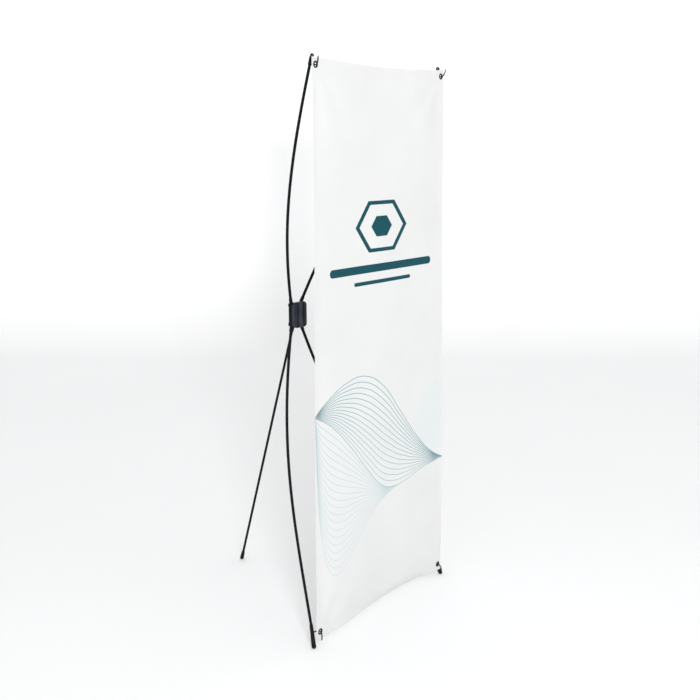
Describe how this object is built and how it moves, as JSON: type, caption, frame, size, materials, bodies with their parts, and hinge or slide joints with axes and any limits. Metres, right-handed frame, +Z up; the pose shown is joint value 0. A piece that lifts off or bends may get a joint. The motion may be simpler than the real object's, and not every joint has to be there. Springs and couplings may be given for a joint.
{
  "type": "x banner stand",
  "caption": "Free-standing X-banner stand: a printed sheet held taut by its corner eyelets between bowed rods from a folding hub, with a rear leg.",
  "frame": {"origin": "on the floor, centre of the bounding box's bottom face", "axes": "+Z up, +X to the right of someone facing the print, -Y the way the print faces"},
  "size_m": [0.6422, 0.6332, 1.6304],
  "materials": {
    "hub_plastic": "moulded, satin",
    "hub_inner_plastic": "moulded, dull",
    "rod_black": "smooth black glass-fibre rod",
    "lug_black": "moulded, satin",
    "foot_rubber": "soft moulded",
    "hook_steel": "black nickel plated wire",
    "pin_steel": "zinc plated",
    "eyelet_black": "black enamel",
    "banner_film": "coated banner film, printed"
  },
  "bodies": {
    "hub": {"hub_front_cover": "hub_plastic", "hub_front_plate": "hub_inner_plastic", "hub_spacer": "hub_inner_plastic", "hub_rear_body": "hub_plastic", "hub_screw_top": "pin_steel", "hub_screw_middle": "pin_steel", "hub_screw_bottom": "pin_steel", "rear_leg_pin": "pin_steel", "pivot_pin_upper_left": "pin_steel", "pivot_pin_upper_right": "pin_steel", "pivot_pin_lower_left": "pin_steel", "pivot_pin_lower_right": "pin_steel"},
    "arm_upper_left": {"lug_upper_left": "lug_black", "rod_upper_left": "rod_black", "tip_cap_upper_left": "foot_rubber", "hook_upper_left": "hook_steel"},
    "arm_upper_right": {"lug_upper_right": "lug_black", "rod_upper_right": "rod_black", "tip_cap_upper_right": "foot_rubber", "hook_upper_right": "hook_steel"},
    "arm_lower_left": {"lug_lower_left": "lug_black", "rod_lower_left": "rod_black", "foot_left": "foot_rubber", "hook_lower_left": "hook_steel"},
    "arm_lower_right": {"lug_lower_right": "lug_black", "rod_lower_right": "rod_black", "foot_right": "foot_rubber", "hook_lower_right": "hook_steel"},
    "rear_leg": {"rear_leg_lug": "lug_black", "rear_leg_rod": "rod_black", "rear_leg_foot": "foot_rubber"},
    "banner": {"banner_sheet": "banner_film", "eyelet_front_upper_left": "eyelet_black", "eyelet_back_upper_left": "eyelet_black", "eyelet_front_upper_right": "eyelet_black", "eyelet_back_upper_right": "eyelet_black", "eyelet_front_lower_left": "eyelet_black", "eyelet_back_lower_left": "eyelet_black", "eyelet_front_lower_right": "eyelet_black", "eyelet_back_lower_right": "eyelet_black"}
  },
  "joints": [
    {"name": "arm_upper_left_fold", "type": "hinge", "parent": "hub", "child": "arm_upper_left", "pos_m": [-0.02, 0.04375, 0.908], "axis": [0, -0.9728, -0.2318], "range_deg": [0, 150]},
    {"name": "arm_upper_right_fold", "type": "hinge", "parent": "hub", "child": "arm_upper_right", "pos_m": [0.02, 0.04375, 0.908], "axis": [0, 0.9728, 0.2318], "range_deg": [0, 150]},
    {"name": "arm_lower_left_fold", "type": "hinge", "parent": "hub", "child": "arm_lower_left", "pos_m": [-0.02, 0.04375, 0.848], "axis": [0.2382, -0.9686, 0.0718], "range_deg": [0, 18]},
    {"name": "arm_lower_right_fold", "type": "hinge", "parent": "hub", "child": "arm_lower_right", "pos_m": [0.02, 0.04375, 0.848], "axis": [0.2382, 0.9686, -0.0718], "range_deg": [0, 18]},
    {"name": "rear_leg_fold", "type": "hinge", "parent": "hub", "child": "rear_leg", "pos_m": [0, 0.05275, 0.85], "axis": [-1, 0, 0], "range_deg": [0, 17]},
    {"name": "banner_lift_off", "type": "slide", "parent": "hub", "child": "banner", "axis": [0, -0.866, 0.5], "range_m": [0, 0.35]}
  ]
}
